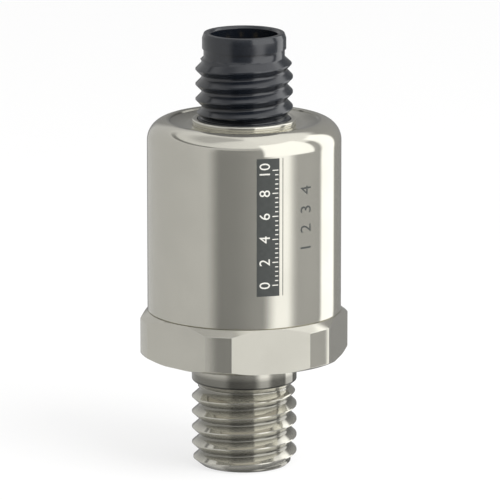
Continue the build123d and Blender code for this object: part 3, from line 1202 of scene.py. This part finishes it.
@dataclass(frozen=True)
class Scale(NodeShape):
    """A row of ticks side by side, laid out flat, every few of them long."""

    tree: ClassVar[str] = "tick_row"
    right: float
    bottom: float
    count: int = 26
    long_every: int = 5
    spacing: float = 0.572
    long_length: float = 0.75
    short_length: float = 0.4
    width: float = 0.12
    thickness: float = 0.003

    def _shape(self, w: TreeWriter, given: dict[str, Value]) -> bpy.types.NodeSocket:
        """Sets one box on each point of a line.

        Args:
            w: writer for the tree.
            given: the tree's inputs by name.

        Returns:
            The socket that puts out the ticks.
        """
        line = w.node("GeometryNodeMeshLine", {
            "Count": given["Count"],
            "Start Location": w.vector(given["Right"], given["Bottom"]),
            "Offset": w.vector(0.0, given["Spacing"])})
        box = w.node("GeometryNodeMeshCube", {"Size": w.vector(1.0, given["Width"], given["Thickness"])})
        shifted = w.node("GeometryNodeTransform", {
            "Geometry": box.outputs["Mesh"], "Translation": w.vector(-0.5, 0.0, given["Thickness"] * 0.5)})
        index = w.node("GeometryNodeInputIndex").outputs[0]
        among = w.math("MODULO", index, given["Long Every"])
        length = w.ramp(among, 0.0, 1.0, given["Long Length"], given["Short Length"])
        placed = w.node("GeometryNodeInstanceOnPoints", {
            "Points": line.outputs["Mesh"], "Instance": shifted.outputs["Geometry"],
            "Scale": w.vector(length, 1.0, 1.0)})
        return placed.outputs[0]


@dataclass(frozen=True)
class PressurePort:
    """The turned port: stud with its helical thread, collar, hexagon, spigot and pocket."""

    camera_angle: float
    segments: int = 192
    stud_crest_radius: float = 6.52
    stud_root_radius: float = 5.6
    pitch: float = 1.965
    first_crest: float = -4.965
    crest_width: float = 0.14
    root_width: float = 0.16
    collar_height: float = 3.2
    collar_rounding: float = 0.2
    # Painted shade darkening the collar towards its lower edge, and a painted shadow line at that edge,
    # standing in for a rounding that faces down.
    collar_shades: tuple[Point, ...] = ((0.0, 0.1), (1.7, 0.2), (2.3, 1.1), (3.03, 1.2))
    collar_line: float = 1.7
    cone_start: float = 0.14
    relief_top: float = -3.95
    relief_bottom: float = -4.1075
    relief_rounding: float = 0.05
    # Painted shade, with some dirt, in the relief's root below the collar.
    relief_dirt: float = 0.6
    end_radius: float = 5.4
    end_chamfer_height: float = 0.9
    bore_radius: float = 2.5
    bore_chamfer: float = 0.4
    hex_across_flats: float = 24.0
    hex_corner_radius: float = 13.0
    hex_top_chamfer: float = 0.75
    hex_bottom_chamfer: float = 0.45
    hex_bottom_reach: float = 0.85
    groove_width: float = 2.0
    groove_gap: float = 0.03
    spigot_step: float = 0.85
    pocket_radius: float = 9.1
    pocket_floor: float = 3.4
    edge: float = 0.12
    cutter_room: float = 1.0
    crisp_angle: float = 19.0

    def build(self) -> None:
        """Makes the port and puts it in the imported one's place."""
        box = Span.of("pressure_port")
        seal = Span.of("process_seal")
        case = Span.of("case")
        top, bottom = box.high.z, box.low.z
        hex_top, case_radius = case.low.z, case.high.x
        spigot_radius = case_radius - self.spigot_step
        groove_in = seal.high.x - self.groove_width
        groove_out = seal.high.x + self.groove_gap
        crest, root = self.stud_crest_radius, self.stud_root_radius
        flank = -self.collar_height - self.relief_top
        cone_radius = crest + (root - crest) * self.cone_start
        thread = Thread(
            crest_radius=crest, root_radius=root, pitch=self.pitch, crest_width=self.crest_width,
            root_width=self.root_width, bottom=bottom, top=self.relief_bottom,
            bottom_radius=self.end_radius, bottom_rise=self.end_chamfer_height, top_radius=root,
            top_rise=flank, crest_height=self.first_crest, crest_angle=self.camera_angle,
            segments=self.segments)
        turning = Turning("port", self.segments)
        turning.section([
            Corner(self.end_radius, bottom),
            Corner(self.bore_radius + self.bore_chamfer, bottom),
            Corner(self.bore_radius, bottom + self.bore_chamfer),
            Corner(self.bore_radius, self.pocket_floor),
            Corner(self.pocket_radius, self.pocket_floor),
            Corner(self.pocket_radius, top),
            Corner(spigot_radius, top),
            Corner(spigot_radius, hex_top),
            Corner(case_radius, hex_top),
            Corner(self.hex_corner_radius, hex_top - self.hex_top_chamfer, self.edge),
            Corner(self.hex_corner_radius, self.hex_bottom_chamfer, self.edge),
            # Painted shade along the hexagon's underside beside the seal groove.
            Corner(self.hex_corner_radius - self.hex_bottom_reach, 0.0, self.edge, dirt=1.0),
            Corner(groove_out, 0.0),
            Corner(groove_out, seal.high.z),
            Corner(groove_in, seal.high.z),
            Corner(groove_in, 0.0, self.edge),
            # Painted shade down the collar and a painted shadow line at its lower corner.
            *(Corner(crest, -drop, dirt=dirt) for drop, dirt in self.collar_shades),
            Corner(crest, -self.collar_height, self.collar_rounding, self.collar_line),
            Corner(cone_radius, -self.collar_height - flank * self.cone_start),
            # Painted shade, with some dirt, darkening the relief's root.
            Corner(root, self.relief_top, self.relief_rounding, self.relief_dirt),
            Corner(root, self.relief_bottom, dirt=1.0),
        ])
        turning.absorb(thread.mesh(PORT_STEEL))
        port = turning.finish()
        room = self.cutter_room
        combine(port, self._hexagon(bottom - room, top + room), Combine.COMMON)
        smooth_with_edges(port, self.crisp_angle, above=self.relief_top)
        settle(port, PORT_STEEL, Slot.PORT, "pressure_port")

    def _hexagon(self, bottom: float, top: float) -> bpy.types.Object:
        """Makes a six-sided prism with a flat towards -Y, all that the hexagon leaves of the round.

        Args:
            bottom: height of its lower end.
            top: height of its upper end.

        Returns:
            The prism.
        """
        work = bmesh.new()
        add_prism(work, 6, self.hex_across_flats / 2 / math.cos(math.pi / 6), bottom, top)
        return settle_work("hexagon", work)


@dataclass(frozen=True)
class Case:
    """The drawn sleeve with its round shoulder, dished top and raised lip."""

    segments: int = 256
    wall: float = 0.8
    print_room: float = 0.01
    foot_chamfer: float = 0.15
    foot_rounding: float = 0.1
    plain_end: float = 1.0
    shoulder_radius: float = 2.6
    shoulder_turn: float = 84.0
    shoulder_steps: int = 24
    top_dish: float = 0.85
    dish_radius: float = 7.3
    dish_rounding: float = 1.2
    rim_radius: float = 9.25
    rim_drop: float = 0.1
    rim_step: float = 0.16
    rim_draft: float = 0.16
    # Strength of the painted shade at the edges of the rim's small step.
    rim_dirt: float = 0.6
    floor_rise: float = 0.3
    lip_height: float = 1.2
    lip_radius: float = 6.44
    lip_drop: float = 0.2
    lip_rounding: float = 0.36
    lip_tuck: float = 0.22
    tuck_rounding: float = 0.05
    neck_radius: float = 5.78
    neck_rounding: float = 0.2
    crisp_angle: float = 25.0

    def build(self) -> None:
        """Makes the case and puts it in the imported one's place."""
        box = Span.of("case")
        foot = box.low.z
        outer = box.high.x - self.print_room
        inner = box.high.x - self.wall
        lip_top = box.high.z - self.lip_drop
        dish = box.high.z - self.lip_height
        floor = dish + self.floor_rise
        top = dish + self.top_dish
        rim_top = top - self.rim_drop
        centre = (outer - self.shoulder_radius, top - self.shoulder_radius)
        turning = Turning("case_sleeve", self.segments)
        turning.section([
            Corner(inner, foot),
            Corner(outer - self.foot_chamfer, foot),
            Corner(outer, foot + self.foot_chamfer, self.foot_rounding),
            Corner(outer, foot + self.plain_end),
            Corner(outer, centre[1] - self.plain_end),
            *arc(centre, self.shoulder_radius, self.shoulder_turn, self.shoulder_steps),
            # Painted shade in the crease of the rim's small step, darkest in its middle.
            Corner(self.rim_radius, rim_top, dirt=self.rim_dirt),
            Corner(self.rim_radius - self.rim_draft / 2, rim_top - self.rim_step / 2, dirt=1.0),
            Corner(self.rim_radius - self.rim_draft, rim_top - self.rim_step, dirt=self.rim_dirt),
            Corner(self.dish_radius, floor, self.dish_rounding),
            Corner(self.lip_radius - self.lip_tuck, floor, self.tuck_rounding),
            Corner(self.lip_radius, floor + self.lip_tuck, self.lip_tuck),
            Corner(self.lip_radius, lip_top, self.lip_rounding),
            Corner(self.neck_radius, lip_top, self.neck_rounding),
            Corner(self.neck_radius, dish - self.wall),
            Corner(self.dish_radius, dish - self.wall),
            *reversed(arc(centre, self.shoulder_radius - self.wall, 90.0, self.shoulder_steps // 2)),
            Corner(inner, foot),
        ])
        case = turning.finish()
        smooth_with_edges(case, self.crisp_angle)
        settle(case, CASE_STEEL, Slot.CASE, "case")


@dataclass(frozen=True)
class Connector:
    """The black insert: cup with key, nose, neck, helical thread, stem and flange."""

    camera_angle: float
    segments: int = 160
    crest_radius: float = 6.0
    root_radius: float = 5.27
    pitch: float = 1.875
    crest_width: float = 0.18
    root_width: float = 0.2
    first_crest: float = 36.34
    neck_radius: float = 5.0
    neck_bottom: float = 37.4
    neck_flank: float = 0.91
    nose_bottom: float = 38.4
    nose_radius: float = 5.18
    nose_edge: float = 0.06
    nose_rounding: float = 0.25
    rim_radius: float = 4.95
    rim_height: float = 0.65
    rim_rounding: float = 0.15
    cup_radius: float = 4.15
    cup_floor: float = 31.5
    cup_chamfer: float = 0.25
    cup_edge: float = 0.1
    stem_radius: float = 5.72
    stem_top: float = 29.8
    stem_bottom: float = 27.95
    stem_edge: float = 0.08
    thread_bottom: float = 29.9025
    flank: float = 0.6625
    flange_radius: float = 11.1
    flange_edge: float = 26.9
    shoulder_radius: float = 9.2
    groove_bottom: float = 24.9
    groove_top: float = 26.5
    groove_radius: float = 10.0
    key_width: float = 0.9
    key_depth: float = 0.55
    key_sink: float = 0.3
    key_bevel: float = 0.08
    key_bevel_steps: int = 2
    key_top_gap: float = 2.2
    key_angle: float = 225.0
    pin_hole: float = 0.52
    pin_hole_sides: int = 32
    cutter_room: float = 0.5
    crisp_angle: float = 30.0

    def build(self) -> None:
        """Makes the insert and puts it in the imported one's place."""
        box = Span.of("connector_body")
        top, bottom = box.high.z, box.low.z
        thread = Thread(
            crest_radius=self.crest_radius, root_radius=self.root_radius, pitch=self.pitch,
            crest_width=self.crest_width, root_width=self.root_width, bottom=self.thread_bottom,
            top=self.neck_bottom, bottom_radius=self.root_radius, bottom_rise=self.flank,
            top_radius=self.neck_radius, top_rise=self.neck_flank, crest_height=self.first_crest,
            crest_angle=self.camera_angle, segments=self.segments)
        turning = Turning("plug_insert", self.segments)
        turning.section([
            Corner(self.neck_radius, self.neck_bottom),
            Corner(self.neck_radius, self.nose_bottom, self.nose_edge),
            Corner(self.nose_radius, self.nose_bottom, self.nose_edge),
            Corner(self.nose_radius, top - self.rim_height, self.nose_rounding),
            Corner(self.rim_radius, top, self.rim_rounding),
            Corner(self.cup_radius + self.cup_chamfer, top, self.cup_edge),
            Corner(self.cup_radius, top - self.cup_chamfer, self.cup_edge),
            Corner(self.cup_radius, self.cup_floor, self.rim_rounding),
            Corner(0.0, self.cup_floor),
        ])
        turning.section([
            Corner(0.0, bottom),
            Corner(self.flange_radius, bottom),
            Corner(self.flange_radius, self.groove_bottom),
            Corner(self.groove_radius, self.groove_bottom),
            Corner(self.groove_radius, self.groove_top),
            Corner(self.flange_radius, self.groove_top),
            Corner(self.flange_radius, self.flange_edge),
            Corner(self.shoulder_radius, self.stem_bottom),
            Corner(self.stem_radius, self.stem_bottom),
            Corner(self.stem_radius, self.stem_top, self.stem_edge),
            Corner(self.root_radius, self.stem_top),
            Corner(self.root_radius, self.thread_bottom),
        ])
        turning.absorb(thread.mesh(BLACK_PLASTIC))
        insert = turning.finish()
        combine(insert, self._key(top - self.key_top_gap), Combine.JOIN)
        combine(insert, self._pin_holes(bottom), Combine.CUT)
        smooth_with_edges(insert, self.crisp_angle, above=self.neck_bottom)
        settle(insert, BLACK_PLASTIC, Slot.PLUG, "connector_body")

    def _key(self, top: float) -> bpy.types.Object:
        """Makes the rib inside the cup that keys the cable's plug.

        Args:
            top: height of its upper end.

        Returns:
            The rib.
        """
        half = self.key_width / 2
        work = bmesh.new()
        add_box(work, (self.cup_radius - self.key_depth, -half, self.cup_floor - self.key_sink),
                (self.cup_radius + self.key_depth / 2, half, top))
        work.transform(Matrix.Rotation(math.radians(self.key_angle), 4, "Z"))
        bmesh.ops.bevel(work, geom=work.edges[:], offset=self.key_bevel * MM,
                        segments=self.key_bevel_steps, affect="EDGES")
        return settle_work("key", work)

    def _pin_holes(self, bottom: float) -> bpy.types.Object:
        """Makes the four cutters that pass the pins through the floor.

        Args:
            bottom: height of the insert's underside.

        Returns:
            The cutters, as one object.
        """
        work = bmesh.new()
        for name in sorted(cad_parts):
            if name.startswith("contact_pin"):
                pin = Span.of(name)
                middle = (pin.low + pin.high) / 2
                add_prism(work, self.pin_hole_sides, self.pin_hole, bottom - self.cutter_room,
                          self.cup_floor + self.cutter_room, (middle.x, middle.y))
        return settle_work("pin_holes", work)


@dataclass(frozen=True)
class Marking:
    """The dark printed panel on the case, with a plain light scale, a thin rule and small digits."""

    bottom: float = 9.8
    top: float = 26.9
    left: float = -1.8
    right: float = 1.07
    rule_place: float = 1.52
    rule_width: float = 0.09
    tick_margin: float = 0.15
    number_count: int = 6
    number_place: float = -0.72
    number_size: float = 1.9
    number_rise: float = 1.35
    number_step: float = 2.86
    digit_count: int = 4
    digit_place: float = 4.9
    digit_size: float = 2.3
    digit_bottom: float = 15.4
    digit_step: float = 2.4
    letter_steps: int = 3
    cut_step: float = 0.15
    dark_depths: Point = (0.012, 0.005)
    light_depths: Point = (0.006, 0.002)
    crisp_angle: float = 30.0

    def build(self) -> None:
        """Makes the dark print and the light print."""
        dark = bmesh.new()
        half = self.rule_width / 2
        for left, right in ((self.left, self.right), (self.rule_place - half, self.rule_place + half)):
            add_box(dark, (left, self.bottom, 0.0), (right, self.top, 1.0))
        for place in range(self.digit_count):
            height = self.digit_bottom + place * self.digit_step
            self._number(dark, place + 1, self.digit_place, height, self.digit_size)
        light = bmesh.new()
        first = self.bottom + self.number_rise
        light.from_mesh(Scale(self.right - self.tick_margin, first).mesh(LIGHT_INK))
        for place in range(self.number_count):
            height = first + place * self.number_step
            self._number(light, 2 * place, self.number_place, height, self.number_size)
        self._wrap("marking_dark", dark, self.dark_depths, PANEL_INK)
        self._wrap("marking_light", light, self.light_depths, LIGHT_INK)

    def _number(self, work: bmesh.types.BMesh, number: int, place: float, height: float,
                size: float) -> None:
        """Adds a number that reads upwards.

        Args:
            work: the flat print.
            number: the number.
            place: place of its middle along the print.
            height: height of its middle.
            size: size of its letters.
        """
        text = bpy.data.curves.new("number", "FONT")
        text.body = str(number)
        text.size = size * MM
        text.align_x = "CENTER"
        text.align_y = "CENTER"
        text.extrude = MM / 2
        text.resolution_u = self.letter_steps
        holder = link("number", text)
        flat = plain_mesh(holder)
        quarter = Matrix.Rotation(TURN / 4, 4, "Z")
        flat.transform(Matrix.Translation((place * MM, height * MM, MM / 2)) @ quarter)
        work.from_mesh(flat)
        bpy.data.objects.remove(holder)

    def _wrap(self, name: str, work: bmesh.types.BMesh, depths: Point, finish: Finish) -> None:
        """Bends flat print round the case and settles it.

        Args:
            name: the piece's name.
            work: the flat print.
            depths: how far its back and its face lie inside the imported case's wall.
            finish: its ink.
        """
        bmesh.ops.remove_doubles(work, verts=work.verts, dist=SAME)
        lowest = min(vertex.co.x for vertex in work.verts)
        highest = max(vertex.co.x for vertex in work.verts)
        step = self.cut_step * MM
        for cut in range(1, int((highest - lowest) / step) + 1):
            bmesh.ops.bisect_plane(work, geom=work.verts[:] + work.edges[:] + work.faces[:], dist=SAME / 10,
                                   plane_co=(lowest + cut * step, 0.0, 0.0), plane_no=(1.0, 0.0, 0.0))
        radius = Span.of("case").high.x
        for vertex in work.verts:
            turn = vertex.co.x / (radius * MM) - math.pi / 2
            reach = (radius - depths[vertex.co.z > WELD]) * MM
            vertex.co = Vector((reach * math.cos(turn), reach * math.sin(turn), vertex.co.y))
        bmesh.ops.recalc_face_normals(work, faces=work.faces)
        piece = settle_work(name, work)
        smooth_with_edges(piece, self.crisp_angle)
        settle(piece, finish, Slot.CASE)


def dress_packed_nodes() -> None:
    """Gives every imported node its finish."""
    for name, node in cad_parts.items():
        stem = name.rstrip("0123456789").rstrip("_")
        node.data.materials.clear()
        node.data.materials.append(NODE_FINISH[stem].material())
    LOG.info("dressed %d packed nodes", len(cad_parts))


def main() -> None:
    """Builds the object's pieces in order, then the studio round them."""
    logging.basicConfig(level=logging.INFO, format="%(name)s: %(message)s")
    studio = Studio()
    camera_angle = -90.0 + studio.azimuth
    dress_packed_nodes()
    for piece in (PressurePort(camera_angle), Case(), Connector(camera_angle), Marking()):
        piece.build()
    studio.build()


if __name__ == "__main__":
    main()
